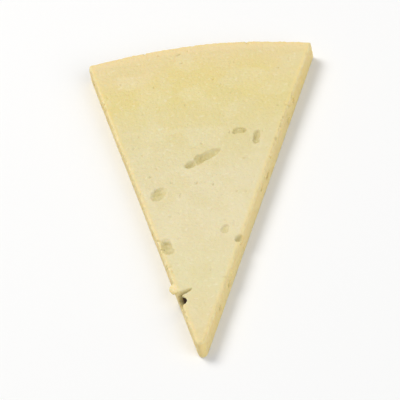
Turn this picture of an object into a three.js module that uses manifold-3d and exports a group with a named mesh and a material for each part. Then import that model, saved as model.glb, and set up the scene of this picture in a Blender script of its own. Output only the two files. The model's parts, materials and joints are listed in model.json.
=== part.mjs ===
// A thin hand-cut slice of firm sheep's milk cheese, lying flat. It is a sector of the wheel with the
// rind trimmed off: its point was at the wheel's centre and its broad end follows the round side.
// Millimetres, +Z up. The origin is on the surface it lies on, under the middle of its length and width.
import * as THREE from "three";
import { mergeVertices } from "three/addons/utils/BufferGeometryUtils.js";
import Module from "manifold-3d";

// The wheel's sector
const WHEEL_RADIUS = 95; // wheel's centre to the trimmed round side
const POINT_ANGLE = THREE.MathUtils.degToRad(29); // between the two long cuts
const HALF_ANGLE = POINT_ANGLE / 2;
const POINT_ROUND = 1; // radius of the blunted point

// The knife's work
const THICKNESS = 4.2; // halfway along
const THICKER_AT_END = 0.3; // how much more the broad end measures than the point
const EDGE_SOFT = 0.22; // how far an edge is rubbed back
const FACE_SWELL = 0.11; // how far the upper face swells and dips
const SWELL_LENGTH = { across: 7, along: 11, ripple: 5, drift: 13 }; // one radian of each wave
const WALL_WANDER = 0.16; // how far the long cuts leave their straight line
const WANDER_RATE = { slow: 9, quick: 23, lean: 2 }; // radians over the length, and over the height

// Facets
const ROWS = 30; // along the slice
const COLUMNS = 8; // across it
const UNDER_CHORDS = 4; // straight chords round each end of the underside
const LEVELS = [
  { height: 0, inset: EDGE_SOFT },
  { height: 0.06, inset: 0 },
  { height: 0.5, inset: 0 },
  { height: 0.94, inset: 0 },
  { height: 1, inset: EDGE_SOFT },
];
const LONG_EYE = 2.5; // an eye longer than this has finer facets
const FINE_OVAL = 2; // an icosahedron's detail
const PLAIN_OVAL = 1;

// Distances along the slice are measured from the wheel's centre.
const NOSE_MIDDLE = POINT_ROUND / Math.sin(HALF_ANGLE); // centre of the blunted point's rounding
const NOSE_TIP = NOSE_MIDDLE - POINT_ROUND;
const MIDDLE = (NOSE_TIP + WHEEL_RADIUS) / 2; // where the origin lies

// Eyes that open on the upper face: across and along give the middle, turn is in degrees, and taper
// narrows the end that turn points to, or widens it where it is below 0.
const FACE_EYES = [
  { across: 1.3, along: 59.4, length: 7.4, width: 2.6, depth: 0.86, turn: 32, taper: 0 }, // long slit
  { across: -1.8, along: 57.4, length: 2.6, width: 2.1, depth: 1, turn: 36, taper: 0 }, // its deep end
  { across: 8.4, along: 66.3, length: 2.8, width: 1.8, depth: 0.78, turn: 0, taper: -0.4 },
  { across: 11.9, along: 63.8, length: 4.6, width: 1.4, depth: 0.76, turn: 82, taper: -0.2 },
  { across: -8.6, along: 49.3, length: 4.2, width: 3.3, depth: 0.76, turn: 60, taper: 0.1 }, // wide, faint
  { across: 5.1, along: 36.6, length: 2.6, width: 1.8, depth: 0.58, turn: 90, taper: 0.1 },
  { across: 8.9, along: 33.4, length: 3.4, width: 2.1, depth: 1.3, turn: 10, taper: 0 }, // meets an edge
  { across: -6.9, along: 32.9, length: 5.1, width: 2.4, depth: 0.85, turn: 101, taper: 0 }, // so does this
  { across: -3.2, along: 18.8, length: 3.8, width: 1.1, depth: 1.2, turn: 31, taper: 0.3 }, // short slit
];
const RAISED = 0.2; // how far an eye's middle lies outside the face, as a share of its depth

// Eyes are gaps between curds, so side lobes make them uneven. Shift is a share of the eye's length,
// length and width are shares of its width, and depth of its depth. A lobe is no longer than
// LONGEST_LOBE, a share of the eye's length, so that a round eye stays round.
const LONGEST_LOBE = 0.75;
const LOBES = [
  { shift: -0.26, turn: 52, length: 1.45, width: 0.85, depth: 0.9 },
  { shift: 0.2, turn: -41, length: 1.25, width: 0.7, depth: 0.75 },
];
const LUMPY = 0.16; // how far an oval leaves its plain form, as a share of its size
const LUMP_RATE = { x: 3.1, y: 3.7, z: 2.9 }; // radians over an oval's half length

// Eyes of like sizes are spread evenly where none is placed by hand. Most are near the shortest.
const SCATTER = { length: [1.1, 3.4], width: [0.8, 1.6], depth: [0.6, 1.2] };
const UNDER_EYES = { count: 9, along: [28, 89], turn: 137, taper: 0.2 };
const WALL_EYES = { count: 4, along: [38, 88], height: [0.3, 0.7] }; // in each long cut
const END_EYES = { count: 4, height: [0.35, 0.65] }; // in the round side
const KEPT_IN = 0.8; // share of the width that scattered eyes take up
const STEPS = { first: 0.618, second: 0.382, third: 0.754 }; // of the even spreads

// Pits and crumbs on the long cuts: side is -1 on the left and 1 on the right, and height is a share
// of the thickness.
const PITS = [
  { side: -1, along: 16.2, height: 0.8, length: 3, width: 3.2, depth: 1.6 }, // notch in the edge
  { side: -1, along: 17.2, height: 0.58, length: 3.2, width: 2.5, depth: 2.6 }, // its deepest part
  { side: 1, along: 22.2, height: 0.45, length: 2, width: 1.3, depth: 0.8 },
  { side: 1, along: 15.2, height: 0.5, length: 1.5, width: 1.2, depth: 0.7 },
];
const CRUMBS = [
  { side: -1, along: 20.4, height: 0.84, length: 3, width: 1.5, depth: 1.2 }, // torn flap over the notch
  { side: 1, along: 23.8, height: 0.8, length: 1.7, width: 1.1, depth: 0.5 },
];
const WORN_EDGE = { side: 1, along: [58, 73], chips: 7, length: 1.7, width: 0.9, depth: 0.45 };

const mix = THREE.MathUtils.lerp;
const between = ([least, most], share) => mix(least, most, share);

// An even spread of numbers from 0 to 1, the same each time.
const spread = (i, step) => (0.5 + i * step) % 1;

// The outline seen from above: side runs from -1 to 1 across the slice, and run from 0 at the point
// to 1 at the round side.
function plan(side, run) {
  const noseTurn = side * (Math.PI / 2 - HALF_ANGLE);
  const endTurn = side * HALF_ANGLE;
  const x = mix(POINT_ROUND * Math.sin(noseTurn), WHEEL_RADIUS * Math.sin(endTurn), run);
  const along = mix(NOSE_MIDDLE - POINT_ROUND * Math.cos(noseTurn), WHEEL_RADIUS * Math.cos(endTurn), run);
  return [x, along - MIDDLE];
}

// The same for the underside, whose ends are a few straight chords, so that it lies on clear corners.
function underPlan(side, run) {
  const place = ((side + 1) / 2) * UNDER_CHORDS;
  const first = Math.min(Math.floor(place), UNDER_CHORDS - 1);
  const [from, to] = [first, first + 1].map((chord) => plan((2 * chord) / UNDER_CHORDS - 1, run));
  return from.map((value, i) => mix(value, to[i], place - first));
}

// How far a long cut wanders outwards. It fades to nothing at the point, at the corners and underneath.
function wander(side, run, height) {
  const { slow, quick, lean } = WANDER_RATE;
  const wave = 0.6 * Math.sin(run * slow + side) + 0.4 * Math.sin(run * quick + (height - side) * lean);
  return WALL_WANDER * wave * Math.sin(Math.PI * run);
}

// Height of the upper face at a place on the slice.
function upperFace(x, y) {
  const { across, along, ripple, drift } = SWELL_LENGTH;
  const broad = Math.sin(x / across + 1) * Math.cos(y / along);
  const swell = 0.6 * broad + 0.4 * Math.sin(y / ripple + x / drift);
  return THICKNESS + (THICKER_AT_END * y) / WHEEL_RADIUS + FACE_SWELL * swell;
}

// A box of facets bent into the slice's form.
function sliceGeometry() {
  const geometry = new THREE.BoxGeometry(2, 1, 1, COLUMNS, ROWS, LEVELS.length - 1);
  const position = geometry.attributes.position;
  for (let i = 0; i < position.count; i++) {
    const side = position.getX(i);
    const run = position.getY(i) + 0.5;
    const level = LEVELS[Math.round((position.getZ(i) + 0.5) * (LEVELS.length - 1))];
    const atSide = Math.abs(side) === 1;
    const atEnd = run === 0 || run === 1;
    const isUnder = level.height === 0;
    let [x, y] = isUnder ? underPlan(side, run) : plan(side, run);
    if (atSide && !isUnder) x += side * wander(side, run, level.height);
    if (atSide && !atEnd) x -= side * level.inset;
    if (atEnd) y += (run === 0 ? 1 : -1) * level.inset;
    position.setXYZ(i, x, y, level.height * upperFace(x, y));
  }
  return geometry;
}

// An uneven oval hollow or lump, its long way along X. Taper narrows its +X end.
function ovalGeometry({ length, width, depth, taper = 0 }, seed, detail = PLAIN_OVAL) {
  const geometry = new THREE.IcosahedronGeometry(1, detail);
  const position = geometry.attributes.position;
  for (let i = 0; i < position.count; i++) {
    const [x, y, z] = [position.getX(i), position.getY(i), position.getZ(i)];
    const waves = [x * LUMP_RATE.x + seed, y * LUMP_RATE.y + 2 * seed, z * LUMP_RATE.z - seed];
    const lump = waves.reduce((sum, wave) => sum + Math.sin(wave), 0) / waves.length;
    const grown = 1 + LUMPY * lump;
    const narrowed = grown * (1 - taper * Math.max(x, 0));
    position.setXYZ(i, (grown * x * length) / 2, (narrowed * y * width) / 2, narrowed * z * depth);
  }
  return geometry;
}

const wasm = await Module();
wasm.setup();

// A closed geometry as a manifold-3d solid.
function solid(geometry) {
  const bare = geometry.clone();
  bare.deleteAttribute("normal");
  bare.deleteAttribute("uv");
  const merged = mergeVertices(bare, 1e-4);
  const mesh = new wasm.Mesh({
    numProp: 3,
    vertProperties: merged.attributes.position.array,
    triVerts: new Uint32Array(merged.index.array),
  });
  return new wasm.Manifold(mesh);
}

// A manifold-3d solid as a geometry with flat facets.
function geometryOf(made) {
  const mesh = made.getMesh();
  const geometry = new THREE.BufferGeometry();
  geometry.setAttribute("position", new THREE.BufferAttribute(mesh.vertProperties, mesh.numProp));
  geometry.setIndex(new THREE.BufferAttribute(mesh.triVerts, 1));
  const facets = geometry.toNonIndexed();
  facets.computeVertexNormals();
  return facets;
}

// An eye with its lobes, open on the upper face, or on the underside where under is true.
function faceEye(eye, seed, under = false) {
  const y = eye.along - MIDDLE;
  const lobes = LOBES.map(({ shift, turn, length, width, depth }, i) => {
    const longest = LONGEST_LOBE * eye.length;
    const size = {
      length: Math.min(length * eye.width, longest),
      width: width * eye.width,
      depth: depth * eye.depth,
    };
    const geometry = ovalGeometry(size, seed + i);
    geometry.rotateZ(THREE.MathUtils.degToRad(turn));
    geometry.translate(shift * eye.length, 0, 0);
    return geometry;
  });
  const main = ovalGeometry(eye, seed, eye.length > LONG_EYE ? FINE_OVAL : PLAIN_OVAL);
  const out = RAISED * eye.depth;
  const ovals = [main, ...lobes].map((geometry) => {
    geometry.rotateZ(THREE.MathUtils.degToRad(eye.turn));
    geometry.translate(eye.across, y, under ? -out : upperFace(eye.across, y) + out);
    return solid(geometry);
  });
  return ovals.reduce((made, oval) => made.add(oval));
}

// An oval on a long cut, its length along the cut and its depth into it.
function wallOval(oval, seed) {
  const geometry = ovalGeometry(oval, seed);
  const y = oval.along - MIDDLE;
  const x = oval.side * oval.along * Math.tan(HALF_ANGLE);
  geometry.rotateX(Math.PI / 2);
  geometry.rotateZ(Math.PI / 2 - oval.side * HALF_ANGLE);
  geometry.translate(x, y, oval.height * upperFace(x, y));
  return solid(geometry);
}

// An oval in the round side, at an angle from the slice's middle line.
function endOval(oval, angle, height) {
  const geometry = ovalGeometry(oval, angle);
  geometry.rotateX(Math.PI / 2);
  geometry.translate(0, WHEEL_RADIUS, height * THICKNESS);
  geometry.rotateZ(-angle);
  geometry.translate(0, -MIDDLE, 0);
  return solid(geometry);
}

// One of the sizes that the scattered eyes share.
function scatteredSize(i) {
  return {
    length: between(SCATTER.length, spread(i, STEPS.first) ** 2),
    width: between(SCATTER.width, spread(i, STEPS.second)),
    depth: between(SCATTER.depth, spread(i, STEPS.third)),
  };
}

// The middles are as far apart in area as in number, so that the broad end isn't left bare.
function underEyes({ count, along, turn, taper }) {
  const [near, far] = along;
  return Array.from({ length: count }, (_, i) => {
    const middle = Math.sqrt(mix(near ** 2, far ** 2, (i + 0.5) / count));
    const share = mix(-KEPT_IN, KEPT_IN, spread(i, STEPS.first));
    const across = middle * Math.tan(HALF_ANGLE) * share;
    return faceEye({ ...scatteredSize(i), across, along: middle, turn: turn * i, taper }, i, true);
  });
}

function wallEyes({ count, along, height }, side) {
  return Array.from({ length: count }, (_, i) => {
    const middle = between(along, (i + spread(i + side, STEPS.second)) / count);
    const level = between(height, spread(i - side, STEPS.first));
    return wallOval({ ...scatteredSize(i + 3), side, along: middle, height: level }, i + side);
  });
}

function endEyes({ count, height }) {
  return Array.from({ length: count }, (_, i) => {
    const share = (i + spread(i, STEPS.second)) / count;
    const angle = HALF_ANGLE * mix(-KEPT_IN, KEPT_IN, share);
    return endOval(scatteredSize(i + 5), angle, between(height, spread(i, STEPS.first)));
  });
}

// Small bites along an upper edge.
function edgeChips({ side, along, chips, length, width, depth }) {
  return Array.from({ length: chips }, (_, i) => {
    const middle = between(along, (i + spread(i, STEPS.second) / 2) / chips);
    const share = mix(0.5, 1, spread(i, STEPS.first));
    const size = { length: length * share, width: width * share, depth };
    return wallOval({ ...size, side, along: middle, height: 1 }, i);
  });
}

const hollows = [
  ...FACE_EYES.map((eye, i) => faceEye(eye, i)),
  ...underEyes(UNDER_EYES),
  ...wallEyes(WALL_EYES, -1),
  ...wallEyes(WALL_EYES, 1),
  ...endEyes(END_EYES),
  ...PITS.map(wallOval),
  ...edgeChips(WORN_EDGE),
];
const whole = CRUMBS.map(wallOval).reduce((made, crumb) => made.add(crumb), solid(sliceGeometry()));
const carved = hollows.reduce((made, hollow) => made.subtract(hollow), whole);

const paste = new THREE.MeshStandardMaterial({ color: "#e5d9a8", roughness: 0.55, metalness: 0 });
const slice = new THREE.Mesh(geometryOf(carved), paste);
slice.name = "cheese_slice";

const part = new THREE.Group();
part.add(slice);

export default part;
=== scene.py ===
"""Looks of a thin hand-cut slice of firm sheep's milk cheese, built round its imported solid.

The slice is cut out of a disc of cheese with flat knife cuts, its eyes are hollowed out of it, and its
faces and edges then get the unevenness of a real cut. The slice's lengths are written in millimetres and
turned to metres by mm(). The studio's are in metres.
"""

import json
import logging
import math
from collections.abc import Callable, Iterator, Sequence
from contextlib import contextmanager
from dataclasses import dataclass, field
from enum import Enum

import bmesh
import bpy
import numpy as np
from mathutils import Matrix, Vector

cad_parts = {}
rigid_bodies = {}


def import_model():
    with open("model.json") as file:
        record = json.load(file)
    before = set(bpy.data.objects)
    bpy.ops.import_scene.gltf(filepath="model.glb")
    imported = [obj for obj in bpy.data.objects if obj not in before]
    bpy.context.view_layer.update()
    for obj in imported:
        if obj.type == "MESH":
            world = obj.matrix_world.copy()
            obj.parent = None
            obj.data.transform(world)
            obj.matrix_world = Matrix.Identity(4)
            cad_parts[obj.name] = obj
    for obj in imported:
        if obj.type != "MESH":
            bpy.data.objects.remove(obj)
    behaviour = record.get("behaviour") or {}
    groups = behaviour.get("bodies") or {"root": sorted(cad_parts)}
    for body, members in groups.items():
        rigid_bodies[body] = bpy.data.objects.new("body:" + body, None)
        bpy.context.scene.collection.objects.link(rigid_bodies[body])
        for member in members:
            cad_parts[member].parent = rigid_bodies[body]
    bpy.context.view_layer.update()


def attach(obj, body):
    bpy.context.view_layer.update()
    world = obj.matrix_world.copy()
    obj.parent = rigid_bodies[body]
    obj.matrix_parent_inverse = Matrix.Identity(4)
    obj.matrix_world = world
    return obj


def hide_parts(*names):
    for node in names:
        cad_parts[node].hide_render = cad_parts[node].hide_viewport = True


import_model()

NODE = "cheese_slice"
BODY = "root"
IMAGE_SIDE = 400
SENSOR_MM = 36.0

log = logging.getLogger("slice")


def mm(length: float) -> float:
    """Returns in metres a length given in millimetres."""
    return length * 0.001


def mix(low: float, high: float, share: float) -> float:
    """Returns the number a share of the way from low to high."""
    return low + (high - low) * share


def spread(i: int, step: float) -> float:
    """Returns the i-th number of an even spread from 0 to 1, the same each time."""
    return (0.5 + i * step) % 1


def linear(hex_colour: str) -> tuple[float, float, float, float]:
    """Turns an sRGB hex colour to linear light.

    Args:
        hex_colour: the colour as "#rrggbb".

    Returns:
        Red, green, blue and an alpha of 1.
    """
    parts = [int(hex_colour[i : i + 2], 16) / 255 for i in (1, 3, 5)]
    red, green, blue = (c / 12.92 if c <= 0.04045 else ((c + 0.055) / 1.055) ** 2.4 for c in parts)
    return red, green, blue, 1.0


class Side(Enum):
    """The two long cuts, as seen from the point."""

    LEFT = -1
    RIGHT = 1


@dataclass(frozen=True)
class Sector:
    """The slice's plain form: a sector of the wheel, in millimetres."""

    wheel_radius: float = 95.0
    half_angle: float = math.radians(14.5)
    point_round: float = 1.0
    thickness: float = 4.2
    thicker_at_end: float = 0.3
    edge_soft: float = 0.22

    @property
    def nose_middle(self) -> float:
        """Distance from the wheel's centre to the middle of the blunted point's rounding."""
        return self.point_round / math.sin(self.half_angle)

    @property
    def nose_tip(self) -> float:
        """Distance from the wheel's centre to the blunted point."""
        return self.nose_middle - self.point_round

    @property
    def nose_profile(self) -> float:
        """The bevel profile that puts the rounding's tip where an arc of a circle has it."""
        sine = math.sin(self.half_angle)
        return ((1 + 2 * sine) / (2 + 2 * sine)) ** 2

    @property
    def middle(self) -> float:
        """Distance from the wheel's centre to the origin."""
        return (self.nose_tip + self.wheel_radius) / 2

    def upper_face(self, y: float | np.ndarray) -> float | np.ndarray:
        """Height of the upper face's plane at a place along the slice."""
        return self.thickness + self.thicker_at_end * y / self.wheel_radius


SECTOR = Sector()


@dataclass(frozen=True)
class Oval:
    """A hollow or a lump: its middle, its three sizes in millimetres, and how it is turned."""

    at: tuple[float, float, float]
    length: float
    width: float
    depth: float
    turn: tuple[float, float, float]
    taper: float = 0.0


@dataclass(frozen=True)
class Lobe:
    """A side lobe of an eye, as shares of the eye's own sizes."""

    shift: float
    turn: float
    length: float
    width: float
    depth: float


@dataclass(frozen=True)
class Eye:
    """A gap between curds that a face cuts open. Across and along give its middle from the wheel's centre.

    Its middle is raised out of the face by a share of its depth, so that its sides slope. Its lobes stay
    shorter than a share of its length, so that a round eye stays round.
    """

    across: float
    along: float
    length: float
    width: float
    depth: float
    turn: float
    taper: float = 0.0

    RAISED = 0.2
    LONGEST_LOBE = 0.75
    LOBES = (
        Lobe(shift=-0.26, turn=52, length=1.45, width=0.85, depth=0.9),
        Lobe(shift=0.2, turn=-41, length=1.25, width=0.7, depth=0.75),
    )

    def ovals(self, under: bool = False) -> list[Oval]:
        """Splits the eye into its main oval and its lobes.

        Args:
            under: whether it opens on the underside.

        Returns:
            The ovals that make up the eye.
        """
        y = self.along - SECTOR.middle
        out = self.RAISED * self.depth
        z = -out if under else SECTOR.upper_face(y) + out
        angle = math.radians(self.turn)
        found = [Oval((self.across, y, z), self.length, self.width, self.depth, (0, 0, angle), self.taper)]
        for lobe in self.LOBES:
            reach = lobe.shift * self.length
            at = (self.across + reach * math.cos(angle), y + reach * math.sin(angle), z)
            turn = (0, 0, angle + math.radians(lobe.turn))
            length = min(lobe.length * self.width, self.LONGEST_LOBE * self.length)
            found.append(Oval(at, length, lobe.width * self.width, lobe.depth * self.depth, turn))
        return found


@dataclass(frozen=True)
class WallMark:
    """A pit, a chip or a crumb on a long cut. Height is a share of the thickness."""

    side: Side
    along: float
    height: float
    length: float
    width: float
    depth: float

    def oval(self) -> Oval:
        """Places the mark on its cut, its length along the cut and its depth into it."""
        y = self.along - SECTOR.middle
        x = self.side.value * self.along * math.tan(SECTOR.half_angle)
        turn = (math.pi / 2, 0, math.pi / 2 - self.side.value * SECTOR.half_angle)
        at = (x, y, self.height * SECTOR.upper_face(y))
        return Oval(at, self.length, self.width, self.depth, turn)


@dataclass(frozen=True)
class Scatter:
    """Eyes of like sizes, spread evenly where none is listed one by one.

    The higher favour_short is, the fewer are long. First, second and third are the steps of the even
    spreads, and the sizes on the long cuts and the round side start further on in them. Under_turn is the
    degrees between one eye of the underside and the next. Heights are shares of the thickness. Chip is the
    length, width and depth of the largest bite in a worn edge, and smallest_chip a share of the first two.
    """

    length: tuple[float, float] = (1.1, 3.4)
    width: tuple[float, float] = (0.8, 1.6)
    depth: tuple[float, float] = (0.6, 1.2)
    favour_short: float = 2
    kept_in: float = 0.8
    first: float = 0.618
    second: float = 0.382
    third: float = 0.754
    wall_start: int = 3
    end_start: int = 5
    under_turn: float = 137
    under_taper: float = 0.2
    wall_heights: tuple[float, float] = (0.3, 0.7)
    end_heights: tuple[float, float] = (0.35, 0.65)
    chip: tuple[float, float, float] = (1.7, 0.9, 0.45)
    smallest_chip: float = 0.5

    def size(self, i: int) -> dict[str, float]:
        """Returns the i-th length, width and depth."""
        return {
            "length": mix(*self.length, spread(i, self.first) ** self.favour_short),
            "width": mix(*self.width, spread(i, self.second)),
            "depth": mix(*self.depth, spread(i, self.third)),
        }

    def under(self, count: int = 9, near: float = 28, far: float = 89) -> list[Eye]:
        """Spreads eyes over the underside, as many for each square millimetre at either end."""
        eyes = []
        for i in range(count):
            along = math.sqrt(mix(near**2, far**2, (i + 0.5) / count))
            reach = along * math.tan(SECTOR.half_angle)
            across = reach * mix(-self.kept_in, self.kept_in, spread(i, self.first))
            turn = self.under_turn * i
            eyes.append(Eye(across, along, **self.size(i), turn=turn, taper=self.under_taper))
        return eyes

    def wall(self, side: Side, count: int = 4, near: float = 38, far: float = 88) -> list[WallMark]:
        """Spreads eyes along one long cut."""
        marks = []
        for i in range(count):
            along = mix(near, far, (i + spread(i + side.value, self.second)) / count)
            height = mix(*self.wall_heights, spread(i - side.value, self.first))
            marks.append(WallMark(side, along, height, **self.size(i + self.wall_start)))
        return marks

    def end(self, count: int = 4) -> list[Oval]:
        """Spreads eyes over the round side."""
        ovals = []
        for i in range(count):
            share = (i + spread(i, self.second)) / count
            angle = SECTOR.half_angle * mix(-self.kept_in, self.kept_in, share)
            height = mix(*self.end_heights, spread(i, self.first)) * SECTOR.thickness
            radius = SECTOR.wheel_radius
            at = (radius * math.sin(angle), radius * math.cos(angle) - SECTOR.middle, height)
            size = self.size(i + self.end_start)
            turn = (math.pi / 2, 0, -angle)
            ovals.append(Oval(at, size["length"], size["width"], size["depth"], turn))
        return ovals

    def chips(self, side: Side, near: float, far: float, count: int) -> list[WallMark]:
        """Spreads small bites along a worn stretch of an upper edge."""
        length, width, depth = self.chip
        marks = []
        for i in range(count):
            along = mix(near, far, (i + spread(i, self.second) / 2) / count)
            share = mix(self.smallest_chip, 1, spread(i, self.first))
            marks.append(WallMark(side, along, 1.0, length * share, width * share, depth))
        return marks


def make_only(piece: bpy.types.Object) -> None:
    """Selects one object alone and makes it the active one."""
    bpy.ops.object.select_all(action="DESELECT")
    piece.select_set(True)
    bpy.context.view_layer.objects.active = piece


@contextmanager
def editing(piece: bpy.types.Object) -> Iterator[bmesh.types.BMesh]:
    """Opens an object in edit mode with nothing selected, edge by edge.

    Args:
        piece: the object to edit.

    Yields:
        The mesh being edited, to select by place.
    """
    make_only(piece)
    bpy.ops.object.mode_set(mode="EDIT")
    bpy.ops.mesh.select_mode(type="EDGE")
    bpy.ops.mesh.select_all(action="DESELECT")
    yield bmesh.from_edit_mesh(piece.data)
    bpy.ops.object.mode_set(mode="OBJECT")


def select_edges(work: bmesh.types.BMesh, wanted: Callable[[Vector], bool]) -> None:
    """Selects the edges whose two ends both pass a test.

    Args:
        work: the mesh in edit mode.
        wanted: the test for one end's place.
    """
    for edge in work.edges:
        if all(wanted(end.co) for end in edge.verts):
            edge.select_set(True)


def drop_bubbles(piece: bpy.types.Object) -> None:
    """Deletes the bubbles that carving leaves closed inside a piece.

    Args:
        piece: the object to clean. What hangs together with its foremost edge stays.
    """
    with editing(piece) as work:
        min(work.edges, key=lambda edge: edge.verts[0].co.y).select_set(True)
        bpy.ops.mesh.select_linked()
        bpy.ops.mesh.select_all(action="INVERT")
        bpy.ops.mesh.delete(type="VERT")


def apply(piece: bpy.types.Object, kind: str, **settings: object) -> None:
    """Adds a modifier to a piece and applies it.

    Args:
        piece: the object to change.
        kind: the modifier's type.
        **settings: its settings by name.
    """
    make_only(piece)
    bpy.ops.object.modifier_add(type=kind)
    modifier = piece.modifiers[-1]
    for name, value in settings.items():
        setattr(modifier, name, value)
    bpy.ops.object.modifier_apply(modifier=modifier.name)


def joined(pieces: Sequence[bpy.types.Object]) -> bpy.types.Object:
    """Joins objects into the first one and returns it, its place in its mesh."""
    bpy.ops.object.select_all(action="DESELECT")
    for piece in pieces:
        piece.select_set(True)
    bpy.context.view_layer.objects.active = pieces[0]
    bpy.ops.object.join()
    bpy.ops.object.transform_apply(location=True, rotation=True, scale=True)
    return pieces[0]


@dataclass(frozen=True)
class Uneven:
    """One layer of unevenness: how high it is and how wide its lumps are, in millimetres.

    Layers adds finer noise. Level is the pattern's value that stays in place, so that 1 only sinks.
    """

    height: float
    width: float
    layers: int = 2
    level: float = 0.5
    direction: str = "NORMAL"

    def lay(self, piece: bpy.types.Object, group: str = "") -> None:
        """Displaces a piece by this layer, all over or by a vertex group's weight."""
        texture = bpy.data.textures.new(f"{piece.name}_uneven", "CLOUDS")
        texture.noise_scale = mm(self.width)
        texture.noise_depth = self.layers
        apply(
            piece,
            "DISPLACE",
            texture=texture,
            texture_coords="LOCAL",
            direction=self.direction,
            strength=mm(self.height),
            mid_level=self.level,
            vertex_group=group,
        )


@dataclass
class Hollows:
    """Everything that is carved out of the slice, or stuck to its cuts. Lengths are in millimetres."""

    scatter: Scatter = field(default_factory=Scatter)
    voxel: float = 0.11
    fineness: int = 4
    lumpy: Uneven = Uneven(height=0.4, width=1.2)
    ragged: Uneven = Uneven(height=0.2, width=0.45, layers=1)

    FACE_EYES = (
        Eye(1.3, 59.4, length=7.4, width=2.6, depth=0.86, turn=32),  # long slit
        Eye(-1.8, 57.4, length=2.6, width=2.1, depth=1.0, turn=36),  # its deep end
        Eye(8.4, 66.3, length=2.8, width=1.8, depth=0.78, turn=0, taper=-0.4),
        Eye(11.9, 63.8, length=4.6, width=1.4, depth=0.76, turn=82, taper=-0.2),
        Eye(-8.6, 49.3, length=4.2, width=3.3, depth=0.76, turn=60, taper=0.1),  # wide, faint
        Eye(5.1, 36.6, length=2.6, width=1.8, depth=0.58, turn=90, taper=0.1),
        Eye(8.9, 33.4, length=3.4, width=2.1, depth=1.3, turn=10),  # meets an edge
        Eye(-6.9, 32.9, length=5.1, width=2.4, depth=0.85, turn=101),  # so does this
        Eye(-3.2, 18.8, length=3.8, width=1.1, depth=1.2, turn=31, taper=0.3),  # short slit
    )
    PITS = (
        WallMark(Side.LEFT, 16.2, 0.8, length=3.0, width=3.2, depth=1.6),  # notch in the edge
        WallMark(Side.LEFT, 17.2, 0.58, length=3.2, width=2.5, depth=2.6),  # its deepest part
        WallMark(Side.RIGHT, 22.2, 0.45, length=2.0, width=1.3, depth=0.8),
        WallMark(Side.RIGHT, 15.2, 0.5, length=1.5, width=1.2, depth=0.7),
    )
    CRUMBS = (
        WallMark(Side.LEFT, 20.4, 0.84, length=3.0, width=1.5, depth=1.2),  # torn flap over the notch
        WallMark(Side.RIGHT, 23.8, 0.8, length=1.7, width=1.1, depth=0.5),
    )

    def shape(self, name: str, ovals: Sequence[Oval]) -> bpy.types.Object:
        """Models ovals as spheres at their sizes and places, made uneven and fused.

        Args:
            name: the new object's name.
            ovals: what to model.

        Returns:
            One closed object.
        """
        parts = []
        for oval in ovals:
            bpy.ops.object.select_all(action="DESELECT")
            bpy.ops.mesh.primitive_ico_sphere_add(
                subdivisions=self.fineness,
                radius=1.0,
                location=[mm(v) for v in oval.at],
                rotation=oval.turn,
                scale=(mm(oval.length / 2), mm(oval.width / 2), mm(oval.depth)),
            )
            part = bpy.context.object
            if oval.taper:
                apply(part, "SIMPLE_DEFORM", deform_method="TAPER", deform_axis="X", factor=-oval.taper)
            parts.append(part)
        whole = joined(parts)
        whole.name = name
        apply(whole, "REMESH", mode="VOXEL", voxel_size=mm(self.voxel))
        self.lumpy.lay(whole)
        self.ragged.lay(whole)
        return whole

    def carved(self) -> bpy.types.Object:
        """Models what is cut away."""
        eyes = [oval for eye in self.FACE_EYES for oval in eye.ovals()]
        eyes += [oval for eye in self.scatter.under() for oval in eye.ovals(under=True)]
        marks = [mark for side in Side for mark in self.scatter.wall(side)]
        marks += [*self.PITS, *self.scatter.chips(Side.RIGHT, near=58, far=73, count=7)]
        return self.shape("hollows", eyes + [mark.oval() for mark in marks] + self.scatter.end())

    def stuck(self) -> bpy.types.Object:
        """Models the crumbs that cling to the long cuts."""
        return self.shape("crumbs", [mark.oval() for mark in self.CRUMBS])


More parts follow.
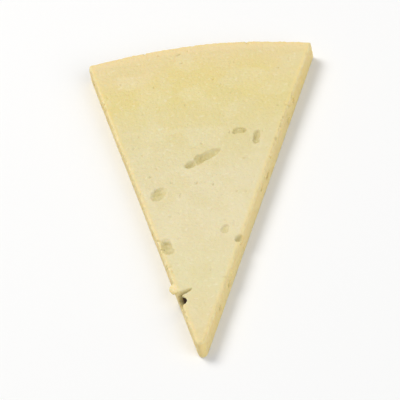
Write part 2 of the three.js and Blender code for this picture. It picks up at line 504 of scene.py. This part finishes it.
@dataclass(frozen=True)
class Pinholes:
    """Tiny gaps that the knife opened, too small to model one by one. Sizes are in millimetres.

    The higher favour_short is, the fewer are long. Shallowest is a share of the deepest. Bowl is the power
    that a hole's depth follows: under 1, its floor is flatter and its sides are steeper.
    """

    per_face: int = 80
    per_wall: int = 60
    length: tuple[float, float] = (0.45, 2.2)
    width: tuple[float, float] = (0.35, 0.6)
    favour_short: float = 3
    deepest: float = 0.34
    shallowest: float = 0.3
    bowl: float = 0.8
    seed: int = 7

    def centres(
        self, chance: np.random.Generator
    ) -> Iterator[tuple[np.ndarray, np.ndarray, np.ndarray]]:
        """Scatters the middles over each face.

        Args:
            chance: the source of random numbers.

        Yields:
            A face's normal, one direction along it, and the middles on it.
        """
        half, radius, tall = SECTOR.half_angle, SECTOR.wheel_radius, SECTOR.thickness
        up = np.array((0.0, 0.0, 1.0))
        for level in (0.0, tall):
            reach = radius * np.sqrt(chance.random(self.per_face))
            turn = half * chance.uniform(-1, 1, self.per_face)
            x, y = reach * np.sin(turn), reach * np.cos(turn) - SECTOR.middle
            yield up, np.array((1.0, 0.0, 0.0)), np.stack((x, y, np.full_like(x, level)), axis=1)
        for side in Side:
            along = np.array((side.value * math.sin(half), math.cos(half), 0.0))
            places = np.outer(radius * chance.random(self.per_wall), along)
            places += np.outer(tall * chance.random(self.per_wall), up) - (0.0, SECTOR.middle, 0.0)
            yield np.cross(along, up), along, places
        count = self.per_wall // 2
        turn = half * chance.uniform(-1, 1, count)
        x, y = radius * np.sin(turn), radius * np.cos(turn) - SECTOR.middle
        places = np.stack((x, y, tall * chance.random(count)), axis=1)
        yield np.array((0.0, 1.0, 0.0)), np.array((1.0, 0.0, 0.0)), places

    def weights(self, points: np.ndarray) -> np.ndarray:
        """Works out how far into a pinhole each point lies.

        Args:
            points: the mesh's points in millimetres.

        Returns:
            A weight from 0 to 1 for each point.
        """
        chance = np.random.default_rng(self.seed)
        found = np.zeros(len(points))
        for normal, along, centres in self.centres(chance):
            across = np.cross(normal, along)
            for centre in centres:
                turn = chance.uniform(0, math.pi)
                half_length = mix(*self.length, chance.random() ** self.favour_short) / 2
                half_width = min(chance.uniform(*self.width) / 2, half_length)
                depth = chance.uniform(self.shallowest, 1.0)
                near = np.flatnonzero(np.abs(points - centre).max(axis=1) < half_length)
                away = points[near] - centre
                u = away @ (along * math.cos(turn) + across * math.sin(turn)) / half_length
                v = away @ (across * math.cos(turn) - along * math.sin(turn)) / half_width
                hole = depth * np.clip(1 - u**2 - v**2, 0, 1) ** self.bowl
                found[near] = np.maximum(found[near], hole)
        return found


@dataclass
class CutSlice:
    """The slice's own mesh.

    Lengths are in millimetres. A point within touch of a face counts as on it. Each fade is how far in from
    its face a layer of unevenness reaches, and none of them moves what lies lower than floor_gap, so that
    the slice lies flat.
    """

    hollows: Hollows = field(default_factory=Hollows)
    voxel: float = 0.17
    most_triangles: int = 190_000
    disc_sides: int = 720
    point_segments: int = 8
    edge_segments: int = 3
    touch: float = 0.05
    floor_gap: float = 0.1
    floor_fade: float = 0.6
    upper_fade: float = 2
    wall_fade: float = 0.6
    edge_fade: float = 0.45
    least_weight: float = 0.01
    swell: Uneven = Uneven(height=0.22, width=16, layers=1, direction="Z")
    wander: Uneven = Uneven(height=0.3, width=10, layers=1)
    crumb: Uneven = Uneven(height=0.3, width=0.8, layers=3)
    nicks: Uneven = Uneven(height=0.5, width=0.9, layers=2, level=0.85)
    grain: Uneven = Uneven(height=0.07, width=1.1, layers=3)
    pinholes: Pinholes = Pinholes()

    def knife_cuts(self) -> list[tuple[Vector, Vector]]:
        """Returns a point and the outward normal of each flat cut: two long ones and the upper face."""
        centre = Vector((0, mm(-SECTOR.middle), 0))
        angle = SECTOR.half_angle
        long_cuts = [(centre, Vector((s.value * math.cos(angle), -math.sin(angle), 0))) for s in Side]
        slope = SECTOR.thicker_at_end / SECTOR.wheel_radius
        return [*long_cuts, (Vector((0, 0, mm(SECTOR.thickness))), Vector((0, -slope, 1)).normalized())]

    def block(self) -> bpy.types.Object:
        """Cuts the plain slice out of a disc of cheese and softens its point and edges."""
        tall = mm(2 * SECTOR.thickness)
        bpy.ops.object.select_all(action="DESELECT")
        bpy.ops.mesh.primitive_cylinder_add(
            vertices=self.disc_sides,
            radius=mm(SECTOR.wheel_radius),
            depth=tall,
            end_fill_type="NGON",
            location=(0, mm(-SECTOR.middle), tall / 2),
            rotation=(0, 0, math.pi / self.disc_sides),
        )
        piece = bpy.context.object
        piece.name = NODE + "_cut"
        bpy.ops.object.transform_apply(location=True, rotation=True, scale=True)
        for point, normal in self.knife_cuts():
            with editing(piece):
                bpy.ops.mesh.select_all(action="SELECT")
                bpy.ops.mesh.bisect(plane_co=point, plane_no=normal, use_fill=True, clear_outer=True)
        touch = mm(self.touch)
        with editing(piece) as work:
            select_edges(work, lambda end: end.y < mm(-SECTOR.middle) + touch)
            offset = mm(SECTOR.point_round / math.tan(SECTOR.half_angle))
            bpy.ops.mesh.bevel(
                offset=offset,
                offset_type="OFFSET",
                segments=self.point_segments,
                profile=SECTOR.nose_profile,
                affect="EDGES",
            )
        with editing(piece) as work:
            select_edges(work, lambda end: end.z < touch)
            select_edges(work, lambda end: abs(end.z - mm(SECTOR.upper_face(end.y * 1000))) < touch)
            bpy.ops.mesh.bevel(
                offset=mm(SECTOR.edge_soft),
                offset_type="OFFSET",
                segments=self.edge_segments,
                affect="EDGES",
            )
        return piece

    def group(self, piece: bpy.types.Object, name: str, weights: np.ndarray) -> str:
        """Stores one weight for each point as a vertex group.

        Args:
            piece: the object whose points they are.
            name: the group's name.
            weights: the weights, in the order of the points.

        Returns:
            The group's name.
        """
        made = piece.vertex_groups.new(name=name)
        for i, weight in enumerate(weights.tolist()):
            if weight > self.least_weight:
                made.add([i], weight, "REPLACE")
        return name

    def depths(self, places: np.ndarray) -> dict[str, np.ndarray]:
        """Measures how far inside each plain face of the slice points lie.

        Args:
            places: the points, in metres.

        Returns:
            The millimetres under the upper face, over the underside, and in from the long cuts and from the
            round side.
        """
        x, y, z = (places * 1000).T
        along = y + SECTOR.middle
        angle = SECTOR.half_angle
        from_nose = np.hypot(x, along - SECTOR.nose_middle)
        at_nose = SECTOR.nose_middle - along > from_nose * math.sin(angle)
        straight = along * math.sin(angle) - np.abs(x) * math.cos(angle)
        return {
            "upper": SECTOR.upper_face(y) - z,
            "under": z,
            "long": np.where(at_nose, SECTOR.point_round - from_nose, straight),
            "end": SECTOR.wheel_radius - np.hypot(x, along),
        }

    def places(self, piece: bpy.types.Object) -> np.ndarray:
        """Reads the places of a piece's points."""
        flat = np.empty(3 * len(piece.data.vertices))
        piece.data.vertices.foreach_get("co", flat)
        return flat.reshape(-1, 3)

    def roughen(self, piece: bpy.types.Object) -> None:
        """Gives the cuts the unevenness of a blade drawn through firm paste."""
        deep = self.depths(self.places(piece))
        off_floor = np.clip((deep["under"] - self.floor_gap) / self.floor_fade, 0, 1)
        second_nearest = np.sort(np.stack(list(deep.values())), axis=0)[1]
        edge = np.clip(1 - second_nearest / self.edge_fade, 0, 1)
        upper = self.group(piece, "upper", np.clip(1 - deep["upper"] / self.upper_fade, 0, 1) * off_floor)
        walls = np.clip(1 - np.minimum(deep["long"], deep["end"]) / self.wall_fade, 0, 1) * off_floor
        walls = self.group(piece, "walls", walls)
        edges = self.group(piece, "edges", edge * off_floor)
        skin = self.group(piece, "skin", off_floor)
        self.swell.lay(piece, upper)
        self.wander.lay(piece, walls)
        self.crumb.lay(piece, walls)
        self.nicks.lay(piece, edges)
        self.grain.lay(piece, skin)
        holes = self.group(piece, "pinholes", self.pinholes.weights(self.places(piece) * 1000))
        apply(
            piece,
            "DISPLACE",
            strength=mm(-self.pinholes.deepest),
            mid_level=0.0,
            vertex_group=holes,
        )

    def mark(self, piece: bpy.types.Object) -> None:
        """Stores for the finish how far each point lies from all faces, from an edge, and from a side."""
        deep = self.depths(self.places(piece))
        nearest = np.sort(np.stack(list(deep.values())), axis=0)
        side = np.minimum(deep["long"], deep["end"])
        for name, values in (("hollow", nearest[0]), ("rim", nearest[1]), ("side", side)):
            stored = piece.data.attributes.new(name, "FLOAT", "POINT")
            stored.data.foreach_set("value", np.maximum(values, 0).astype(np.float32))

    def build(self) -> bpy.types.Object:
        """Models the slice.

        Returns:
            The finished object, at the origin.
        """
        piece = self.block()
        eyes = self.hollows.carved()
        apply(piece, "BOOLEAN", operation="DIFFERENCE", solver="MANIFOLD", object=eyes)
        bpy.data.objects.remove(eyes)
        piece = joined([piece, self.hollows.stuck()])
        apply(piece, "REMESH", mode="VOXEL", voxel_size=mm(self.voxel), use_smooth_shade=True)
        self.roughen(piece)
        triangles = 2 * len(piece.data.polygons)
        apply(piece, "DECIMATE", ratio=min(1.0, self.most_triangles / triangles))
        drop_bubbles(piece)
        self.mark(piece)
        piece.vertex_groups.clear()
        return piece


Settings = dict[str | int, object]


def add_node(
    tree: bpy.types.NodeTree, kind: str, settings: Settings | None = None, links: Settings | None = None
) -> bpy.types.Node:
    """Adds one node with its settings and links.

    Args:
        tree: the node tree to add it to.
        kind: the node's type.
        settings: values by the name of a property, or by the name or number of an input.
        links: output sockets by the name or number of the input that they feed.

    Returns:
        The new node.
    """
    node = tree.nodes.new(kind)
    for key, value in (settings or {}).items():
        if isinstance(key, str) and hasattr(node, key):
            setattr(node, key, value)
        else:
            node.inputs[key].default_value = value
    for key, source in (links or {}).items():
        tree.links.new(source, node.inputs[key])
    return node


@dataclass(frozen=True)
class Tone:
    """A colour laid over another: the mask's values where it starts and is full, and its most there."""

    colour: str
    start: float
    full: float
    most: float


@dataclass(frozen=True)
class CheesePaste:
    """Cut paste of a semi-cured pressed cheese: pale, fatty and close, with a faint grain.

    Fat and moisture let light a little way in, so edges glow and eyes stay soft. The paste is ivory at
    the wheel's heart and straw yellow towards its side, where it is drier. The blade smeared its fat to a
    satin skin, and the eyes kept a moister shine. The colour also holds painted highlights along the edges
    and the round side, and painted shade on the cut sides and in the eyes.
    """

    # Share of the wheel's radius, and the colour there
    drift: tuple[tuple[float, str], ...] = (
        (0.1, "#e1d19e"),
        (0.25, "#e1d7a8"),
        (0.38, "#e1d4a7"),
        (0.55, "#e1d5aa"),
        (0.7, "#ded19d"),
        (0.82, "#dfcf8b"),
        (0.9, "#e1cf8b"),
        (0.96, "#e3d097"),
    )
    # How far its clouds shift it, as a share of the radius
    drift_uneven: float = 0.09

    # By each pattern's value, from 0 to 1
    pale_curd: Tone = Tone("#e9dfb8", 0.45, 0.8, most=0.24)
    deep_curd: Tone = Tone("#dbcd93", 0.5, 0.85, most=0.28)
    fleck: Tone = Tone("#f0e8c8", 0.6, 0.72, most=0.3)

    # By the share of the wheel's radius, and by millimetres in from a side and from an edge
    # A painted highlight along the round side: a band lighter than the paste
    round_side_highlight: Tone = Tone("#ecd59f", 0.968, 0.982, most=0.6)
    # A golden tint on the cut sides, made a little darker as painted shade
    side_tint_and_shade: Tone = Tone("#edd38a", 1.1, 0.1, most=0.75)
    # A painted highlight along every edge, lighter than the paste
    rim: Tone = Tone("#f3e4b6", 0.5, 0.05, most=0.7)

    # By millimetres in from the nearest plain face
    # The eyes' moister, deeper tone, partly painted shade
    eye: Tone = Tone("#cec083", 0.15, 0.5, most=0.75)
    # Deeper in the eyes: more of the moister tone and more painted shade
    deep_eye_tone_and_shade: Tone = Tone("#a4904f", 0.45, 1.1, most=0.7)
    # Painted shade, dark brown, in the deepest hollows such as the notch under the flap
    crevice_shade: Tone = Tone("#4c2404", 0.8, 1.15, most=0.95)

    # Widths in millimetres of the drift's clouds, curds and their warp, flecks, smears, grain and drag
    cloud: float = 14
    curd: float = 4.5
    curd_softness: float = 0.6
    warp: float = 2.6
    warp_shift: float = 2.4
    speck: float = 0.9
    smear: float = 6
    grain: float = 0.7
    drag: float = 1.3

    # The drag lines are noise drawn out across the slice, and turned in degrees to keep off its own grid
    drag_squeeze: float = 0.04
    drag_turn: float = 12

    # Height of the fine relief, in millimetres
    relief: float = 0.2

    # Roughness of the smeared fat, and how much moister eyes get between two depths
    satin: tuple[float, float] = (0.42, 0.66)
    moist_depths: tuple[float, float] = (0.3, 1.0)
    moister: float = 0.15

    ior: float = 1.46

    # Fat lets some light in by glow_reach in millimetres, red the furthest
    glow: float = 0.3
    glow_reach: float = 1.4
    glow_shares: tuple[float, float, float] = (1.0, 0.72, 0.36)

    def make(self) -> bpy.types.Material:
        """Builds the material.

        Returns:
            The finished material.
        """
        material = bpy.data.materials.new("cut_cheese_paste")
        material.use_nodes = True
        tree = material.node_tree
        tree.nodes.clear()
        where = add_node(tree, "ShaderNodeTexCoord").outputs["Object"]
        # Depth in from the nearest plain face: it places the eyes' tone, their painted shade and their
        # moister shine
        hollow = add_node(tree, "ShaderNodeAttribute", {"attribute_name": "hollow"}).outputs["Fac"]
        colour = self.colour(tree, where, hollow)
        normal = self.fine_relief(tree, where)
        shader = add_node(
            tree,
            "ShaderNodeBsdfPrincipled",
            {
                "IOR": self.ior,
                "Subsurface Weight": self.glow,
                "Subsurface Radius": self.glow_shares,
                "Subsurface Scale": mm(self.glow_reach),
            },
            {"Base Color": colour, "Roughness": self.roughness(tree, where, hollow), "Normal": normal},
        )
        add_node(tree, "ShaderNodeOutputMaterial", None, {"Surface": shader.outputs["BSDF"]})
        return material

    def blend(
        self,
        tree: bpy.types.NodeTree,
        under: bpy.types.NodeSocket,
        tone: Tone,
        mask: bpy.types.NodeSocket,
    ) -> bpy.types.NodeSocket:
        """Lays one tone over a colour by a mask.

        Args:
            tree: the material's node tree.
            under: the colour underneath.
            tone: the tone.
            mask: what tells where the tone shows.

        Returns:
            The new colour.
        """
        share = add_node(
            tree,
            "ShaderNodeMapRange",
            {"From Min": tone.start, "From Max": tone.full, "To Max": tone.most},
            {"Value": mask},
        )
        mixed = add_node(
            tree,
            "ShaderNodeMix",
            {"data_type": "RGBA", 7: linear(tone.colour)},
            {0: share.outputs["Result"], 6: under},
        )
        return mixed.outputs[2]

    def reach(self, tree: bpy.types.NodeTree, where: bpy.types.NodeSocket) -> bpy.types.NodeSocket:
        """Measures the distance from the wheel's centre as a share of its radius."""
        centred = add_node(
            tree, "ShaderNodeVectorMath", {"operation": "ADD", 1: (0, mm(SECTOR.middle), 0)}, {0: where}
        )
        flat = add_node(
            tree, "ShaderNodeVectorMath", {"operation": "MULTIPLY", 1: (1, 1, 0)}, {0: centred.outputs[0]}
        )
        radius = add_node(tree, "ShaderNodeVectorMath", {"operation": "LENGTH"}, {0: flat.outputs[0]})
        share = add_node(
            tree,
            "ShaderNodeMapRange",
            {"From Max": mm(SECTOR.wheel_radius), "clamp": False},
            {"Value": radius.outputs["Value"]},
        )
        return share.outputs["Result"]

    def drifted(
        self, tree: bpy.types.NodeTree, where: bpy.types.NodeSocket, reach: bpy.types.NodeSocket
    ) -> bpy.types.NodeSocket:
        """Draws the colour's drift with the distance from the wheel's centre, a little uneven."""
        uneven = add_node(
            tree, "ShaderNodeTexNoise", {"Scale": 1 / mm(self.cloud), "Detail": 2.0}, {"Vector": where}
        )
        offset = add_node(
            tree,
            "ShaderNodeMapRange",
            {"To Min": -self.drift_uneven, "To Max": self.drift_uneven},
            {"Value": uneven.outputs["Fac"]},
        )
        at = add_node(
            tree,
            "ShaderNodeMath",
            {"operation": "ADD"},
            {0: reach, 1: offset.outputs["Result"]},
        )
        ramp = add_node(tree, "ShaderNodeValToRGB", None, {"Fac": at.outputs["Value"]})
        stops = ramp.color_ramp.elements
        first, *rest = self.drift
        stops[0].position, stops[0].color = first[0], linear(first[1])
        stops.remove(stops[1])
        for position, tone in rest:
            stops.new(position).color = linear(tone)
        return ramp.outputs["Color"]

    def colour(
        self, tree: bpy.types.NodeTree, where: bpy.types.NodeSocket, hollow: bpy.types.NodeSocket
    ) -> bpy.types.NodeSocket:
        """Draws the colour: drift, curds, flecks, sides' and eyes' tones, painted highlights and shade."""
        warp = add_node(
            tree, "ShaderNodeTexNoise", {"Scale": 1 / mm(self.warp), "Detail": 2.0}, {"Vector": where}
        )
        shifted = add_node(
            tree,
            "ShaderNodeVectorMath",
            {"operation": "MULTIPLY_ADD", 1: (mm(self.warp_shift),) * 3},
            {0: warp.outputs["Color"], 2: where},
        )
        curds = add_node(
            tree,
            "ShaderNodeTexVoronoi",
            {"feature": "SMOOTH_F1", "Scale": 1 / mm(self.curd), "Smoothness": self.curd_softness},
            {"Vector": shifted.outputs[0]},
        )
        curd_tones = add_node(tree, "ShaderNodeSeparateColor", None, {"Color": curds.outputs["Color"]})
        flecks = add_node(
            tree, "ShaderNodeTexNoise", {"Scale": 1 / mm(self.speck), "Detail": 2.0}, {"Vector": where}
        )
        # Distances in from an edge, for the painted highlight, and from a side, for the sides' tint and
        # painted shade
        rim = add_node(tree, "ShaderNodeAttribute", {"attribute_name": "rim"}).outputs["Fac"]
        side = add_node(tree, "ShaderNodeAttribute", {"attribute_name": "side"}).outputs["Fac"]
        reach = self.reach(tree, where)
        made = self.drifted(tree, where, reach)
        for tone, mask in (
            (self.pale_curd, curd_tones.outputs["Red"]),
            (self.deep_curd, curd_tones.outputs["Green"]),
            (self.fleck, flecks.outputs["Fac"]),
            # Then: painted highlights, the sides' tint and the eyes' tone, both with painted shade
            (self.round_side_highlight, reach),
            (self.side_tint_and_shade, side),
            (self.rim, rim),
            (self.eye, hollow),
            (self.deep_eye_tone_and_shade, hollow),
            (self.crevice_shade, hollow),
        ):
            made = self.blend(tree, made, tone, mask)
        return made

    def roughness(
        self, tree: bpy.types.NodeTree, where: bpy.types.NodeSocket, hollow: bpy.types.NodeSocket
    ) -> bpy.types.NodeSocket:
        """Draws the sheen: fat smeared by the blade, and moister eyes."""
        smear = add_node(
            tree, "ShaderNodeTexNoise", {"Scale": 1 / mm(self.smear), "Detail": 3.0}, {"Vector": where}
        )
        smoothest, roughest = self.satin
        satin = add_node(
            tree,
            "ShaderNodeMapRange",
            {"To Min": smoothest, "To Max": roughest},
            {"Value": smear.outputs["Fac"]},
        )
        start, full = self.moist_depths
        moist = add_node(
            tree,
            "ShaderNodeMapRange",
            {"From Min": start, "From Max": full, "To Max": self.moister},
            {"Value": hollow},
        )
        moistened = add_node(
            tree,
            "ShaderNodeMath",
            {"operation": "SUBTRACT"},
            {0: satin.outputs["Result"], 1: moist.outputs["Result"]},
        )
        return moistened.outputs["Value"]

    def fine_relief(self, tree: bpy.types.NodeTree, where: bpy.types.NodeSocket) -> bpy.types.NodeSocket:
        """Draws the relief too fine for the mesh: the paste's grain and the blade's drag lines."""
        grain = add_node(
            tree, "ShaderNodeTexNoise", {"Scale": 1 / mm(self.grain), "Detail": 4.0}, {"Vector": where}
        )
        turned = add_node(
            tree,
            "ShaderNodeMapping",
            {"Rotation": (0, 0, math.radians(self.drag_turn)), "Scale": (self.drag_squeeze, 1, 1)},
            {"Vector": where},
        )
        drag = add_node(
            tree,
            "ShaderNodeTexNoise",
            {"Scale": 1 / mm(self.drag), "Detail": 3.0},
            {"Vector": turned.outputs[0]},
        )
        settings = {"Strength": 1.0, "Distance": mm(self.relief)}
        grained = add_node(tree, "ShaderNodeBump", settings, {"Height": grain.outputs["Fac"]})
        links = {"Height": drag.outputs["Fac"], "Normal": grained.outputs["Normal"]}
        return add_node(tree, "ShaderNodeBump", settings, links).outputs["Normal"]


@dataclass(frozen=True)
class PaleTable:
    """A plain matt table top, nearly white. Its gap under the slice is in millimetres."""

    colour: str = "#f4f4f3"
    roughness: float = 0.7
    half_width: float = 3.0
    gap: float = 0.005

    def build(self) -> bpy.types.Object:
        """Lays the floor a hair under the slice, so that the two surfaces don't fight."""
        bpy.ops.object.select_all(action="DESELECT")
        bpy.ops.mesh.primitive_plane_add(size=2 * self.half_width, location=(0, 0, mm(-self.gap)))
        floor = bpy.context.object
        floor.name = "table_top"
        material = bpy.data.materials.new("matt_white_laminate")
        material.use_nodes = True
        shader = material.node_tree.nodes["Principled BSDF"]
        shader.inputs["Base Color"].default_value = linear(self.colour)
        shader.inputs["Roughness"].default_value = self.roughness
        floor.data.materials.append(material)
        return floor


@dataclass(frozen=True)
class SoftLamp:
    """A square soft box: where it hangs, how wide it is, and how strong."""

    name: str
    place: tuple[float, float, float]
    width: float
    power: float
    tint: str = "#ffffff"

    def build(self) -> bpy.types.Object:
        """Hangs the lamp, turned to the slice."""
        lamp = bpy.data.lights.new(self.name, "AREA")
        lamp.shape = "SQUARE"
        lamp.size = self.width
        lamp.energy = self.power
        lamp.color = linear(self.tint)[:3]
        holder = bpy.data.objects.new(self.name, lamp)
        holder.location = self.place
        holder.rotation_euler = (-Vector(self.place)).to_track_quat("-Z", "Y").to_euler()
        bpy.context.scene.collection.objects.link(holder)
        return holder


@dataclass(frozen=True)
class Studio:
    """Plain soft studio light: a key from the back left, a weak fill, and an even sky."""

    lamps: tuple[SoftLamp, ...] = (
        SoftLamp("key", (-0.66, 0.62, 1.12), width=0.7, power=13.8, tint="#fffcf7"),
        SoftLamp("fill", (0.9, -0.9, 0.9), width=1.2, power=10.6, tint="#f8faff"),
    )
    sky: str = "#f2f4f8"
    sky_strength: float = 0.43

    def build(self) -> None:
        """Hangs the lamps and lights the sky."""
        for lamp in self.lamps:
            lamp.build()
        world = bpy.data.worlds.new("even_sky")
        world.use_nodes = True
        background = world.node_tree.nodes["Background"]
        background.inputs["Color"].default_value = linear(self.sky)
        background.inputs["Strength"].default_value = self.sky_strength
        bpy.context.scene.world = world
        bpy.context.scene.view_settings.view_transform = "Standard"


@dataclass(frozen=True)
class PhotoCamera:
    """The photograph's view of the slice: angles in degrees, from the slice's own upright and length.

    Distance and farthest are in metres. Focal_pixels is the focal length in pixels of a picture IMAGE_SIDE
    wide. Aim is the point that it looks at, in millimetres across and along the slice from the origin.
    """

    elevation: float = 41.6
    azimuth: float = -7.1
    roll: float = -10.8
    distance: float = 1.4
    farthest: float = 20.0
    focal_pixels: float = 6760.0
    aim: tuple[float, float] = (-0.6, 1.7)

    def build(self) -> bpy.types.Object:
        """Sets the camera up and makes it the scene's."""
        lens = bpy.data.cameras.new("photo_camera")
        lens.sensor_width = SENSOR_MM
        lens.lens = self.focal_pixels / IMAGE_SIDE * SENSOR_MM
        lens.clip_end = self.farthest
        camera = bpy.data.objects.new("photo_camera", lens)
        rise, turn = math.radians(self.elevation), math.radians(self.azimuth)
        flat = math.cos(rise)
        look = Vector((math.sin(turn) * flat, math.cos(turn) * flat, -math.sin(rise)))
        aim = Vector((mm(self.aim[0]), mm(self.aim[1]), 0))
        rolled = Matrix.Rotation(math.radians(self.roll), 3, "Z")
        rotation = look.to_track_quat("-Z", "Y").to_matrix() @ rolled
        camera.matrix_world = Matrix.Translation(aim - look * self.distance) @ rotation.to_4x4()
        bpy.context.scene.collection.objects.link(camera)
        bpy.context.scene.camera = camera
        return camera


def main() -> None:
    """Builds the camera, the studio and the slice, in that order."""
    PhotoCamera().build()
    Studio().build()
    PaleTable().build()
    piece = CutSlice().build()
    piece.name = "slice_paste"
    piece.data.materials.clear()
    piece.data.materials.append(CheesePaste().make())
    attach(piece, BODY)
    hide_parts(NODE)
    log.info("%s: %d faces", piece.name, len(piece.data.polygons))


if __name__ == "__main__":
    logging.basicConfig(level=logging.INFO, format="%(name)s %(message)s")
    main()
